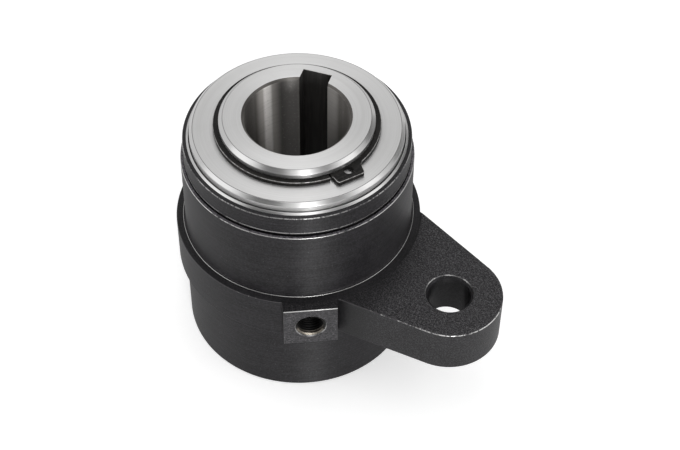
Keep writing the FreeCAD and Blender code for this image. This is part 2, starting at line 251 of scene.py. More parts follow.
def drill(corners, steps=96):
    """A cutter turned about Z from a line of (radius, height) corners, closed at both ends."""
    bm = bmesh.new()
    points = [bm.verts.new((radius * MM, 0, height * MM)) for radius, height in corners]
    for here, there in zip(points, points[1:]):
        bm.edges.new((here, there))
    full_spin(bm, steps)
    bmesh.ops.holes_fill(bm, edges=[edge for edge in bm.edges if edge.is_boundary], sides=0)
    bmesh.ops.recalc_face_normals(bm, faces=bm.faces)
    return bm


def break_edges(bm, test, offset, slot):
    """Bevels the edges that pass a test, and gives the new faces a slot."""
    edges = [edge for edge in bm.edges if test(edge)]
    made = bmesh.ops.bevel(
        bm, geom=edges, offset=offset * MM, segments=EDGE_SEGMENTS, profile=0.5,
        affect="EDGES", material=-1,
    )
    for face in made["faces"]:
        face.material_index = slot
    return made["faces"]


print("milling tools ready")

# %% Make pieces and combine them
def as_piece(bm, name, finishes=()):
    """A piece of this name from a bmesh, which is used up. Its finishes are in slot order."""
    mesh = bpy.data.meshes.new(name)
    bm.to_mesh(mesh)
    bm.free()
    for finish in finishes:
        mesh.materials.append(finish)
    piece = bpy.data.objects.new(name, mesh)
    bpy.context.scene.collection.objects.link(piece)
    return piece


def settle(piece):
    """Applies a piece's modifiers to its mesh."""
    depsgraph = bpy.context.evaluated_depsgraph_get()
    mesh = bpy.data.meshes.new_from_object(piece.evaluated_get(depsgraph))
    piece.modifiers.clear()
    piece.data = mesh


def combine(piece, tool, operation):
    """Unites a piece with a tool, or cuts the tool out of it. The tool is used up."""
    if not tool.data.materials:
        for finish in piece.data.materials:
            tool.data.materials.append(finish)
    step = piece.modifiers.new(operation, "BOOLEAN")
    step.operation = operation
    step.solver = "EXACT"
    step.object = tool
    settle(piece)
    bpy.data.objects.remove(tool)


def smooth(piece, sharp_angle=33):
    """Smooth shading with sharp corners, and flat faces that stay flat."""
    piece.data.shade_smooth()
    piece.data.set_sharp_from_angle(angle=math.radians(sharp_angle))
    weighted = piece.modifiers.new("flat faces", "WEIGHTED_NORMAL")
    weighted.keep_sharp = True
    weighted.weight = 80
    settle(piece)


def hand_over(piece, body, node):
    """Smooths a piece and lets it ride in its node's place."""
    smooth(piece)
    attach(piece, body)
    if node:
        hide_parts(node)
    print(piece.name, len(piece.data.polygons), "faces")


print("assembly bench ready")

# %% [markdown]
# ## Shader maths
#
# A finish is a network of nodes. Written node by node it hides its own idea, so one small class
# stands for an output and lets Python's operators add the Math nodes. Every other node comes from
# one method: its type, its settings, then its values or links.

# %% Nodes as expressions
class Field:
    """One output of a network's nodes."""

    def __init__(self, network, socket):
        self.network = network
        self.socket = socket

    def other(self, output):
        return Field(self.network, self.socket.node.outputs[output])

    def maths(self, operation, *values):
        return self.network.node("ShaderNodeMath", {"operation": operation}, dict(enumerate(values)))

    def __add__(self, value):
        return self.maths("ADD", self, value)

    def __sub__(self, value):
        return self.maths("SUBTRACT", self, value)

    def __rsub__(self, value):
        return self.maths("SUBTRACT", value, self)

    def __mul__(self, value):
        return self.maths("MULTIPLY", self, value)

    def __truediv__(self, value):
        return self.maths("DIVIDE", self, value)

    def __rtruediv__(self, value):
        return self.maths("DIVIDE", value, self)

    def __pow__(self, value):
        return self.maths("POWER", self, value)

    def __abs__(self):
        return self.maths("ABSOLUTE", self)

    __radd__ = __add__
    __rmul__ = __mul__

    def ramp(self, low, high):
        """0 below low, 1 above high and smooth between. With low above high it falls."""
        values = {0: self, 1: low, 2: high, 3: 0.0, 4: 1.0}
        if low > high:
            values = {0: self, 1: high, 2: low, 3: 1.0, 4: 0.0}
        return self.network.node("ShaderNodeMapRange", {"interpolation_type": "SMOOTHSTEP"}, values)


class Network:
    """The nodes of a material or of the world."""

    def __init__(self, owner):
        owner.use_nodes = True
        self.tree = owner.node_tree
        self.tree.nodes.clear()

    def node(self, kind, settings={}, values={}, output=0):
        """Adds one node: its settings first, then the values or links of its sockets."""
        made = self.tree.nodes.new(kind)
        for key, value in settings.items():
            setattr(made, key, value)
        for key, value in values.items():
            self.feed(made.inputs[key], value)
        if made.outputs:
            return Field(self, made.outputs[output])

    def feed(self, socket, value):
        """Links a socket to another node's output, or gives it a value."""
        if isinstance(value, Field):
            self.tree.links.new(value.socket, socket)
        else:
            socket.default_value = value


print("nodes can be written as expressions")

# %% A finish
class Finish(Network):
    """A material under construction, with its place on the piece in millimetres."""

    def __init__(self, name):
        self.material = bpy.data.materials.new(name)
        super().__init__(self.material)
        place = self.node("ShaderNodeTexCoord", output="Object")
        self.normal = place.other("Normal")
        self.x, self.y, z = (part * (1 / MM) for part in self.parts(place))
        self.height = z - FOOT / MM
        self.radius = (self.x * self.x + self.y * self.y) ** 0.5

    def parts(self, vector):
        first = self.node("ShaderNodeSeparateXYZ", values={0: vector})
        return first, first.other(1), first.other(2)

    def towards(self, degrees):
        """1 on the side of the axis at this angle round it, falling off to both sides."""
        angle = math.radians(degrees)
        return (self.x * math.cos(angle) + self.y * math.sin(angle)) / self.radius

    def vector(self, x, y, z):
        return self.node("ShaderNodeCombineXYZ", values={0: x, 1: y, 2: z})

    def noise(self, per_mm, detail=2.0, roughness=0.5, at=None):
        """Noise with this many features a millimetre, around 0.5."""
        if at is None:
            at = self.vector(self.x, self.y, self.height)
        values = {"Vector": at, "Scale": per_mm, "Detail": detail, "Roughness": roughness}
        return self.node("ShaderNodeTexNoise", values=values)

    def turning(self, per_mm, around):
        """Noise drawn out along the circles that a lathe tool leaves."""
        at = self.vector(self.radius * per_mm, self.height * per_mm, self.x / self.radius * around)
        values = {"Vector": at, "W": self.y / self.radius * around, "Scale": 1.0, "Detail": 3.0}
        return self.node("ShaderNodeTexNoise", {"noise_dimensions": "4D"}, values)

    def blend(self, share, first, second):
        """A colour between two colours."""
        mix = self.node("ShaderNodeMix", {"data_type": "RGBA"}).socket.node
        values = {"Factor_Float": share, "A_Color": first, "B_Color": second}
        for socket in mix.inputs:
            if socket.identifier in values:
                self.feed(socket, values[socket.identifier])
        return Field(self, next(out for out in mix.outputs if out.identifier == "Result_Color"))

    def bump(self, height, depth_mm):
        return self.node("ShaderNodeBump", values={"Distance": depth_mm * MM, "Height": height})

    def done(self, **surface):
        """Puts the surface's values in a Principled shader and gives the material."""
        values = {key.replace("_", " "): value for key, value in surface.items()}
        shader = self.node("ShaderNodeBsdfPrincipled", values=values)
        self.node("ShaderNodeOutputMaterial", values={"Surface": shader})
        return self.material


def grey(level, warmth=0.0):
    """A grey of a linear level, warmer above 0 and cooler below."""
    return (level * (1 + warmth), level, level * (1 - warmth), 1.0)


print("shader maths ready")

# %% [markdown]
# ## Black phosphate
#
# The housing is black all over, but not one black. Phosphate keeps the tool marks of the turned
# cylinders and the grain of the cast arm, and it drinks light: it mirrors only about half as much
# as paint would. So the specular level is low, the base stays near black, and fine grain in
# colour, roughness and bump does the rest. A single colour would look like plastic.

# %% Phosphate on turned, cast and milled faces
def black(level):
    """Phosphate of a linear level: a touch more red and blue than green."""
    return (level, level * 0.94, level * 1.05, 1.0)


BLACK = black(0.003)
BLACK_LIGHT = black(0.025)
SPECK = (0.15, 0.146, 0.153, 1.0)


def turned_phosphate():
    f = Finish("phosphate on turned faces")
    marks = f.turning(2.2, around=2.4)
    cloud = f.noise(0.11, detail=5.0, roughness=0.6)
    grain = f.noise(1.3, detail=4.0, roughness=0.7)
    speck = f.noise(1.9, detail=2.0, roughness=0.6).ramp(0.66, 0.76)
    share = cloud.ramp(0.32, 0.7) * 0.25 + marks.ramp(0.38, 0.64) * 0.3 + grain.ramp(0.42, 0.6) * 0.45
    tone = f.blend(share, BLACK, BLACK_LIGHT)
    tone = f.blend(speck * 0.4, tone, SPECK)
    bump = f.bump(marks * 0.5 + grain, 0.05)
    return f.done(
        Base_Color=tone, Roughness=0.34 + grain * 0.14 + cloud * 0.08, Normal=bump,
        Specular_IOR_Level=0.23, Anisotropic=0.9, Anisotropic_Rotation=0.25,
    )


def cast_phosphate():
    """Shot-blasted grain, strongest on the arm's upper face, faded and darkened beside the body as
    painted shade.
    """
    f = Finish("phosphate on the cast arm")
    facing_up = abs(f.parts(f.normal)[2])
    # Painted shade: the arm is darkened and its grain faded beside the body, where the body shades it
    # and darkens its reflections.
    clear_of_painted_shade = (f.radius + f.y * 0.25).ramp(body_r + 1, body_r + 11)
    amount = (0.2 + facing_up * 0.8) * (0.3 + clear_of_painted_shade * 0.7)
    grain = f.noise(1.8, detail=3.0, roughness=0.7)
    cloud = f.noise(0.07, detail=4.0)
    wrinkles = abs(f.noise(1.7, detail=2.0, roughness=0.6) - 0.5).ramp(0.08, 0.01)
    speck = f.noise(2.3, detail=3.0, roughness=0.75).ramp(0.55, 0.68)
    share = cloud.ramp(0.35, 0.7) * 0.3 + grain.ramp(0.42, 0.6) * 0.7
    tone = f.blend(share * (0.3 + clear_of_painted_shade * 0.4 + facing_up * 0.3), BLACK, BLACK_LIGHT)
    tone = f.blend(wrinkles * grain.ramp(0.4, 0.6) * amount * 0.8, tone, SPECK)
    tone = f.blend(speck * amount * 0.7, tone, SPECK)
    bump = f.bump(grain * amount + wrinkles * amount * 0.4, 0.2)
    return f.done(
        Base_Color=tone, Roughness=0.42 + grain * 0.18, Normal=bump, Specular_IOR_Level=0.22,
    )


def milled_phosphate(name, dark, light):
    """A lighter black, rubbed thin on the flat faces that a cutter left smooth."""
    f = Finish(name)
    at = f.vector(f.x * 1.1, f.y * 1.1, f.height * 1.6)
    marks = f.noise(1.0, detail=4.0, roughness=0.7, at=at)
    speck = f.noise(1.7, detail=3.0, roughness=0.75).ramp(0.55, 0.68)
    tone = f.blend(marks.ramp(0.38, 0.62), dark, light)
    tone = f.blend(speck * 0.6, tone, SPECK)
    bump = f.bump(marks, 0.06)
    return f.done(
        Base_Color=tone, Roughness=0.42 + marks * 0.1, Normal=bump, Specular_IOR_Level=0.32,
    )


phosphate = turned_phosphate()
phosphate_cast = cast_phosphate()
phosphate_milled = milled_phosphate("phosphate on the milled pad", BLACK, black(0.038))
phosphate_joint = milled_phosphate("rubbed phosphate at the joint", black(0.03), black(0.16))
print("phosphate:", phosphate.name, phosphate_cast.name, phosphate_milled.name)

# %% [markdown]
# ## Worn edges
#
# Handling rubs the phosphate off the outer edges first and leaves bright steel in patches. The
# edge faces get a finish of their own, in which noise decides between black and bare metal. That
# keeps the wear on the real edge, where a mask painted on the whole body could miss it.

# %% Worn and bare edges
def worn_edge(name, patches, bare, steel, towards_arm_end=0.0):
    """Steel that shows through the black in patches. More bare means less black."""
    f = Finish(name)
    patch = f.noise(patches, detail=4.0, roughness=0.7)
    broad = f.noise(0.07, detail=2.0)
    rubbed = f.x.ramp(arm_reach - 25, arm_reach + 5) * towards_arm_end
    low = 0.56 - bare * 0.2
    shows = (patch * 0.6 + broad * 0.4 + rubbed).ramp(low, low + 0.1)
    tone = f.blend(shows, BLACK_LIGHT, grey(steel, 0.01))
    return f.done(Base_Color=tone, Metallic=shows, Roughness=0.42 - shows * 0.12)


edge_worn = worn_edge("worn edge", patches=0.8, bare=-0.05, steel=0.5, towards_arm_end=0.1)
edge_rubbed = worn_edge("rubbed edge", patches=1.3, bare=0.6, steel=0.3)
edge_line = worn_edge("rubbed line", patches=0.5, bare=0.9, steel=0.45)
edge_bare = worn_edge("bare edge", patches=0.5, bare=1.5, steel=0.38)
print("edges:", edge_worn.name, edge_rubbed.name, edge_line.name, edge_bare.name)

# %% [markdown]
# ## Ground and turned steel
#
# The hub's face, the cover and the cap's end are bright. Fine circles from turning stretch every
# reflection across them, which is why real turned faces show soft fans of light. Anisotropy does
# this: its direction runs round the Z axis by default, so a quarter turn of the rotation spreads
# the light across the circles. A faint line of painted shade marks where a face meets its chamfer,
# as a fine groove there would. The bore is a narrow pipe that few lamps reach, so shade on one of
# its sides and the streaks where the lamps reflect in it are painted into its colour.

# %% Bright steel
def ground_steel(name, level, painted_shade_lines=()):
    """Steel with turning marks, and lines of painted shade, as of fine grooves, given by their (radius,
    width).
    """
    f = Finish(name)
    circles = f.turning(3.0, around=0.35)
    broad = f.turning(0.45, around=0.9)
    stain = f.noise(0.16, detail=4.0, roughness=0.6)
    tone = f.blend(circles.ramp(0.3, 0.7), grey(level * 0.96, 0.006), grey(level * 1.04, 0.004))
    tone = f.blend(broad.ramp(0.35, 0.75) * 0.22, tone, grey(level * 0.8, 0.01))
    tone = f.blend(stain.ramp(0.5, 0.8) * 0.12, tone, grey(level * 0.75, 0.015))
    # Painted shade: each line is darkened the way a fine groove's shade would darken it.
    for radius, width in painted_shade_lines:
        line = abs(f.radius - radius).ramp(width, width * 0.4)
        tone = f.blend(line * (0.4 + broad * 0.6), tone, grey(0.03, 0.03))
    bump = f.bump(circles, 0.004)
    return f.done(
        Base_Color=tone, Metallic=1.0, Roughness=0.27 + circles * 0.1, Normal=bump,
        Anisotropic=0.8, Anisotropic_Rotation=0.25,
    )


painted_shade_side = 140
painted_reflection_side = 88
painted_highlight_band = 163
painted_highlight_core = 162.5


def bore_steel():
    """The shaft's bore: honed and oiled, with painted shade on one side and painted reflections of the
    lamps on others, placed by their angle in degrees.
    """
    f = Finish("honed bore")
    at = f.vector(f.x / f.radius * 6, f.y / f.radius * 6, f.height * 0.015)
    streaks = f.noise(1.0, detail=5.0, roughness=0.65, at=at)
    spots = f.noise(1.1, detail=4.0, roughness=0.7)
    rings = f.turning(1.6, around=1.5)
    tone = f.blend(streaks.ramp(0.36, 0.68), grey(0.16, 0.06), grey(0.2, 0.05))
    # Painted shade darkens one side of the bore. Painted reflections of the lamps make a pale side and a
    # bright streak.
    tone = f.blend(f.towards(painted_shade_side).ramp(0.96, 0.985), tone, grey(0.13, 0.04))
    tone = f.blend(f.towards(painted_reflection_side).ramp(0.97, 0.998), tone, grey(0.32, 0.04))
    tone = f.blend(f.towards(painted_highlight_band).ramp(0.95, 1.0), tone, grey(0.5, 0.05))
    tone = f.blend(f.towards(painted_highlight_core).ramp(0.993, 0.9992), tone, grey(0.95, 0.03))
    tone = f.blend(spots.ramp(0.55, 0.72) * 0.35, tone, grey(0.4, 0.05))
    tone = f.blend(rings.ramp(0.5, 0.7) * 0.12, tone, grey(0.08, 0.08))
    chamfer = f.radius.ramp(shaft_r + 0.02, shaft_r + 0.1)
    tone = f.blend(chamfer, tone, grey(0.12, 0.06))
    bump = f.bump(spots, 0.01)
    return f.done(
        Base_Color=tone, Metallic=1.0, Roughness=0.46 + spots * 0.08, Normal=bump,
        Anisotropic=0.95, Anisotropic_Rotation=0.25,
    )


def keyway_painted_shade():
    # Painted shade: the keyway is coloured near black for the shade inside the slot.
    f = Finish("dark keyway")
    broaching = f.noise(1.0, detail=3.0, at=f.vector(f.x * 1.2, f.y * 1.2, f.height * 0.08))
    tone = f.blend(broaching.ramp(0.3, 0.7), grey(0.028, 0.05), grey(0.046, 0.05))
    return f.done(Base_Color=tone, Roughness=0.5 + broaching * 0.1, Specular_IOR_Level=0.3)


def hardened_steel(name, level, warmth=0.01):
    f = Finish(name)
    marks = f.turning(2.4, around=0.6)
    patina = f.noise(0.12, detail=4.0)
    tone = f.blend(marks.ramp(0.3, 0.7), grey(level * 0.85, warmth), grey(level, warmth))
    tone = f.blend(patina.ramp(0.45, 0.8) * 0.3, tone, grey(level * 0.6, warmth * 2))
    return f.done(
        Base_Color=tone, Metallic=1.0, Roughness=0.26 + patina * 0.16, Normal=f.bump(marks, 0.004),
    )


steel_hub = ground_steel("ground steel, hub", 0.5, [(hub_face_edge - 0.05, 0.14)])
steel_cover = ground_steel("turned steel, cover", 0.5, [(cover_r - cover_chamfer - 0.08, 0.15)])
steel_cap = ground_steel("turned steel, cap end", 0.48)
steel_bore = bore_steel()
keyway_shade_finish = keyway_painted_shade()
steel_hard = hardened_steel("hardened steel", 0.56)
steel_strip = hardened_steel("spring strip", 0.44, 0.05)
print("steels:", steel_hub.name, steel_cover.name, steel_cap.name, steel_bore.name)

# %% [markdown]
# ## Spring rings, bronze, rubber and the worn thread
#
# The retaining rings are blued and oiled, so they are black with a touch of brown. The port's
# thread has lost its black near the mouth and shows warm grey steel there. The bare steel is put
# mostly on its lower side, which faces up into the light, so it is partly a painted highlight. The
# inner pieces hardly show, but each has a finish of its own, because a cut through the clutch would
# show bronze, rubber and steel side by side.

# %% The other finishes
def blued_spring_steel():
    f = Finish("blued spring steel")
    marks = f.turning(2.0, around=2.5)
    dust = f.noise(1.3, detail=4.0, roughness=0.7)
    tone = f.blend(marks.ramp(0.3, 0.7), grey(0.001, 0.08), grey(0.012, 0.08))
    tone = f.blend(dust.ramp(0.5, 0.72) * 0.3, tone, grey(0.07, 0.06))
    return f.done(
        Base_Color=tone, Roughness=0.38 + dust * 0.14, Normal=f.bump(dust + marks, 0.03),
        Specular_IOR_Level=0.12,
    )


def blued_edge():
    """The spring ring's rubbed edge, a thin grey line."""
    f = Finish("rubbed ring edge")
    rub = f.noise(0.8, detail=4.0, roughness=0.7)
    shows = rub.ramp(0.3, 0.6) * 0.7
    tone = f.blend(shows, grey(0.02, 0.06), grey(0.45, 0.02))
    return f.done(Base_Color=tone, Metallic=shows, Roughness=0.4 - shows * 0.1)


def thread_wear_and_painted_light():
    f = Finish("worn thread")
    rub = f.noise(0.9, detail=4.0, roughness=0.7)
    # Partly painted light: the bare steel near the mouth is real wear. Weighting it to the lower side,
    # which faces up into the light, paints a highlight there.
    painted_lit_lower_side = f.height.ramp(port_height + 0.5, port_height - 4.5)
    along = f.x * math.cos(pad_direction) + f.y * math.sin(pad_direction)
    near_mouth = along.ramp(pad_face - 2.4, pad_face - 0.8)
    shows = (rub * 0.7 + painted_lit_lower_side * 0.3).ramp(0.36, 0.62) * near_mouth
    tone = f.blend(shows, grey(0.003, 0.1), (0.15, 0.135, 0.115, 1.0))
    return f.done(
        Base_Color=tone, Metallic=shows, Roughness=0.42 - shows * 0.04, Normal=f.bump(rub, 0.08),
        Specular_IOR_Level=0.12,
    )


def sintered_bronze():
    f = Finish("sintered bronze")
    pores = f.noise(4.0, detail=3.0)
    tone = f.blend(pores.ramp(0.3, 0.6), (0.24, 0.14, 0.06, 1.0), (0.66, 0.43, 0.2, 1.0))
    return f.done(Base_Color=tone, Metallic=1.0, Roughness=0.4 + pores * 0.1, Normal=f.bump(pores, 0.02))


def nitrile_rubber():
    f = Finish("nitrile rubber")
    grain = f.noise(2.5, detail=4.0)
    tone = f.blend(grain.ramp(0.35, 0.7), grey(0.012), grey(0.03))
    return f.done(Base_Color=tone, Roughness=0.55 + grain * 0.2, Normal=f.bump(grain, 0.02))


blued = blued_spring_steel()
blued_rim = blued_edge()
thread_finish = thread_wear_and_painted_light()
bronze = sintered_bronze()
rubber = nitrile_rubber()
print("also:", blued.name, blued_rim.name, thread_finish.name, bronze.name, rubber.name)

# %% [markdown]
# ## The housing
#
# One casting, finished on the lathe: foot, lower body, ring, collar and upper body share an axis,
# so they are one turned section with the bore inside. A shallow groove in its top lies under the
# cap's joint and draws the joint as a black line. The arm is a flat plate with a round end, whose
# arc is spun from a single point. The pad is a block. Both are joined to the body, and then the
# torque pin's hole and the port are drilled.

# %% Turn the housing's body
TURNED, CAST, WORN, BARE, MILLED, RUBBED, PORT, JOINT, LINE = range(9)
housing_finishes = [
    phosphate, phosphate_cast, edge_worn, edge_bare, phosphate_milled, edge_rubbed, thread_finish,
    phosphate_joint, edge_line,
]
ring_edge = 0.22
collar_edge = 0.15
collar_slope = 0.35
body_edge = 0.2
foot_chamfer = 0.8
recess_chamfer = 0.4
joint_groove_r = 38.1
joint_groove_bottom = upper_body_top - 0.8

housing_section = [
    (recess_r + recess_chamfer, 0, 0.05),
    (body_r - foot_chamfer, 0, 0.1),
    (body_r, foot_chamfer, 0.1),
    (body_r, arm_bottom, 0),
    (ring_r, arm_bottom, 0.3),
    (ring_r, ring_top, ring_edge),
    (body_r, ring_top, 0),
    (body_r, collar_top, collar_edge),
    (upper_body_r + collar_slope, collar_top, 0),
    (upper_body_r, collar_top + collar_slope, 0),
    (upper_body_r, upper_body_top, body_edge),
    (joint_groove_r, upper_body_top, 0.08),
    (joint_groove_r, joint_groove_bottom, 0),
    (cap_joint_r, joint_groove_bottom, 0),
    (cap_joint_r, upper_body_top, 0),
    (housing_bore_r, upper_body_top, 0.1),
    (housing_bore_r, race_seat, 0),
    (seal_r, race_seat, 0.1),
    (seal_r, lower_seal_bottom, 0),
    (labyrinth_r, lower_seal_bottom, 0.1),
    (labyrinth_r, foot_recess, 0.1),
    (recess_r, foot_recess, 0),
    (recess_r, recess_chamfer, 0.05),
]


def paint_edge(bm, slot, radius, height, size):
    """Gives a slot to a rounded outer upper edge at this radius and height."""
    near = 0.01
    paint(bm, slot, (radius - size - near, radius + near), (height - size - near, height + near))


body = turned(housing_section)
paint_edge(body, WORN, ring_r, ring_top, ring_edge)
paint_edge(body, BARE, body_r, collar_top, collar_edge)
joint_land = (joint_groove_r, upper_body_r - body_edge)
paint(body, JOINT, joint_land, (upper_body_top - 0.1, upper_body_top + 0.1))
paint_edge(body, LINE, upper_body_r, upper_body_top, body_edge)
housing = as_piece(body, "cast_housing", housing_finishes)
print("body turned,", len(housing.data.polygons), "faces")

# %% Make the arm
arm_top_edge = 0.24
arm_low_edge = 0.3


def lies_at(edge, axis, value):
    """Whether both ends of an edge lie at this value along an axis, in metres."""
    return all(abs(vert.co[axis] - value) < 1e-6 for vert in edge.verts)


def arm_plate():
    """The tapered arm with its round end and broken edges."""
    bm = bmesh.new()
    tangent = Vector((math.sin(arm_taper), -math.cos(arm_taper), 0)) * arm_end_r
    start = Vector((arm_reach, 0, 0)) + tangent
    first = bm.verts.new((start.x * MM, start.y * MM, FOOT + arm_bottom * MM))
    bmesh.ops.spin(
        bm, geom=[first], cent=(arm_reach * MM, 0, 0), axis=(0, 0, 1), dvec=(0, 0, 0),
        angle=math.pi - 2 * arm_taper, steps=72,
    )
    bm.verts.ensure_lookup_table()
    ends = [vert for vert in bm.verts if len(vert.link_edges) == 1]
    root_y = (abs(start.y) + start.x * math.tan(arm_taper)) * MM
    roots = []
    for end in ends:
        side = math.copysign(root_y, end.co.y)
        roots.append(bm.verts.new((0, side, FOOT + arm_bottom * MM)))
        bm.edges.new((end, roots[-1]))
    bm.edges.new(roots)
    raise_plate(bm, arm_top - arm_bottom)
    for face in bm.faces:
        face.material_index = CAST
    top = FOOT + arm_top * MM
    break_edges(bm, lambda edge: lies_at(edge, 2, top), arm_top_edge, WORN)
    low = FOOT + arm_bottom * MM
    break_edges(bm, lambda edge: lies_at(edge, 2, low), arm_low_edge, CAST)
    return bm


arm = as_piece(arm_plate(), "arm", housing_finishes)
print("arm", len(arm.data.polygons), "faces")

# %% Make the pad
middle_of_wall = (body_r + housing_bore_r) / 2
pad_edge = 0.25


def pad_block():
    """The square pad: milled on its face, bright along its top edge."""
    root = middle_of_wall - 0.5
    bm = block((root, pad_face), (-pad_width / 2, pad_width / 2), (arm_bottom, arm_top))
    face_x = pad_face * MM
    for face in bm.faces:
        face.material_index = MILLED if face.normal.x > 0.9 else CAST
    rim = break_edges(bm, lambda edge: lies_at(edge, 0, face_x), pad_edge, MILLED)
    for face in rim:
        if face.calc_center_median().z > FOOT + (arm_top - pad_edge - 0.01) * MM:
            face.material_index = BARE
    turn = Matrix.Rotation(pad_direction, 3, "Z")
    bmesh.ops.rotate(bm, cent=(0, 0, 0), matrix=turn, verts=bm.verts)
    return bm


pad = as_piece(pad_block(), "pad", housing_finishes)
print("pad", len(pad.data.polygons), "faces")

# %% Clear the bore and cut the turned step round the collar
hair = 0.002


def step_cutter():
    """Clears the arm and the pad round the collar, a hair below the ring's own top."""
    bm = turned([
        (body_r - 5, ring_top - hair, 0),
        (turned_step_r, ring_top - hair, 0),
        (turned_step_r, arm_top + 2, 0),
        (body_r - 5, arm_top + 2, 0),
    ])
    for face in bm.faces:
        face.material_index = TURNED
    return as_piece(bm, "step_cutter")


bore_cutter = drill([(middle_of_wall, arm_bottom - 3), (middle_of_wall, arm_top + 3)], LATHE_STEPS)
bmesh.ops.translate(bore_cutter, vec=(0, 0, FOOT), verts=bore_cutter.verts)
combine(arm, as_piece(bore_cutter, "bore_cutter"), "DIFFERENCE")
combine(arm, step_cutter(), "DIFFERENCE")
combine(pad, step_cutter(), "DIFFERENCE")
print("step cut")

# %% [markdown]
# ## Holes
#
# The arm's hole takes the torque pin. Its chamfers are black, with a thin rubbed rim on top. The
# port has a real thread: one V-shaped ridge wound along the hole by a spin with a rise at each
# step. A bump map would do from far away, but the photo looks straight into this hole.

# %% Drill the arm and the port
def arm_hole_cutter():
    chamfer = arm_hole_chamfer
    rim = 0.25
    bm = drill([
        (arm_hole_r + 2 * chamfer, arm_bottom - chamfer),
        (arm_hole_r, arm_bottom + chamfer),
        (arm_hole_r, arm_top - chamfer),
        (arm_hole_r + chamfer - rim, arm_top - rim),
        (arm_hole_r + 2 * chamfer, arm_top + chamfer),
    ], steps=128)
    for face in bm.faces:
        height = face.calc_center_median().z / MM
        face.material_index = RUBBED if height > arm_top - rim else TURNED
    bmesh.ops.translate(bm, vec=(arm_reach * MM, 0, FOOT), verts=bm.verts)
    return as_piece(bm, "arm_hole_cutter")


thread_r = 5.0
thread_core_r = port["dims"]["r_mm"]
port_depth = 8.4
to_port = (
    Matrix.Rotation(pad_direction, 4, "Z")
    @ Matrix.Translation((pad_face * MM, 0, FOOT + port_height * MM))
    @ Matrix.Rotation(math.pi / 2, 4, "Y")
)


def port_cutter():
    sink = 0.3
    bm = drill([
        (thread_r, -port_depth),
        (thread_r, -sink),
        (thread_r + 2 * sink, sink),
    ])
    for face in bm.faces:
        height = face.calc_center_median().z / MM
        face.material_index = RUBBED if height > -sink else PORT
    bmesh.ops.transform(bm, matrix=to_port, verts=bm.verts)
    return as_piece(bm, "port_cutter")


combine(housing, arm, "UNION")
combine(housing, pad, "UNION")
combine(housing, arm_hole_cutter(), "DIFFERENCE")
combine(housing, port_cutter(), "DIFFERENCE")
hand_over(housing, "housing", "housing")

# %% Wind the port's thread
def thread_ridge():
    """One V-shaped ridge, sunk a little in the wall, wound from the port's end to its mouth."""
    pitch = 1.0
    steps_a_turn = 36
    turns = (port_depth - 0.9) / pitch
    bm = bmesh.new()
    low = -port_depth + 0.1
    root_r = thread_r + 0.04
    corners = [
        (root_r, low),
        (thread_core_r, low + 0.40 * pitch),
        (thread_core_r, low + 0.52 * pitch),
        (root_r, low + 0.92 * pitch),
    ]
    ridge = bm.faces.new([bm.verts.new((radius * MM, 0, height * MM)) for radius, height in corners])
    bmesh.ops.spin(
        bm, geom=ridge.verts[:] + ridge.edges[:] + [ridge], cent=(0, 0, 0), axis=(0, 0, 1),
        dvec=(0, 0, pitch / steps_a_turn * MM), angle=math.tau * turns,
        steps=round(turns * steps_a_turn),
    )
    bmesh.ops.recalc_face_normals(bm, faces=bm.faces)
    bmesh.ops.transform(bm, matrix=to_port, verts=bm.verts)
    return bm


thread = as_piece(thread_ridge(), "port_thread", [thread_finish])
hand_over(thread, "housing", None)

# %% [markdown]
# ## The end cap
#
# The cap screws into the housing. Outside it is a black band whose edges are rubbed bright, and a
# narrow chamfer round the cover's recess is turned bare. A joint keeps the band apart from the
# housing, and inside the cap holds the seal and a floor under the rotating cover. It is one turned
# section, and its finishes are given by radius and height, so they meet exactly at its corners.

# %% Turn the end cap
CAP_BLACK, CAP_FACE, CAP_EDGE, CAP_LINE = range(4)
cap_low_edge = 0.25
cap_line_top = cap_band_bottom + cap_low_edge + 0.4
cap_bare = 0.6
cap_crest_r = recess_r + 0.15
cap_bare_r = cap_crest_r + cap_bare
cap_bare_low = cap_top - cap_bare
cap_edge_in = 0.2
cap_edge_top = cap_top - 0.8
cap_edge_low = cap_edge_top - 0.25
o_ring_groove_r = housing_bore_r - 2.4
cap_section = [
    (seal_r, cap_spigot_end, 0.1),
    (housing_bore_r, cap_spigot_end, 0.1),
    (housing_bore_r, o_ring_bottom, 0),
    (o_ring_groove_r, o_ring_bottom, 0.1),
    (o_ring_groove_r, o_ring_top, 0.1),
    (housing_bore_r, o_ring_top, 0),
    (housing_bore_r, upper_body_top, 0),
    (cap_joint_r, upper_body_top, 0),
    (cap_joint_r, cap_band_bottom, 0),
    (cap_r, cap_band_bottom, cap_low_edge),
    (cap_r, cap_line_top, 0),
    (cap_r, cap_edge_low, 0.1),
    (cap_r - cap_edge_in, cap_edge_top, 0.08),
    (cap_bare_r, cap_bare_low, 0.05),
    (cap_crest_r, cap_top, 0.05),
    (recess_r, cap_top, 0.04),
    (recess_r, cap_floor, 0),
    (labyrinth_r, cap_floor, 0.1),
    (labyrinth_r, upper_seal_top, 0.1),
    (seal_r, upper_seal_top, 0),
]
cap_mesh = turned(cap_section)
near = 0.02
edge_radii = (cap_r - cap_edge_in, cap_r + near)
line_radii = (cap_r - cap_low_edge - 0.01, cap_r + near)
paint(cap_mesh, CAP_FACE, (recess_r - near, cap_bare_r), (cap_bare_low, cap_top + near))
paint(cap_mesh, CAP_EDGE, edge_radii, (cap_edge_low - 0.1, cap_edge_top + near))
paint(cap_mesh, CAP_LINE, line_radii, (cap_band_bottom - near, cap_line_top))
cap = as_piece(cap_mesh, "screwed_end_cap", [phosphate, steel_cap, edge_rubbed, edge_line])
hand_over(cap, "housing", "end_cap")

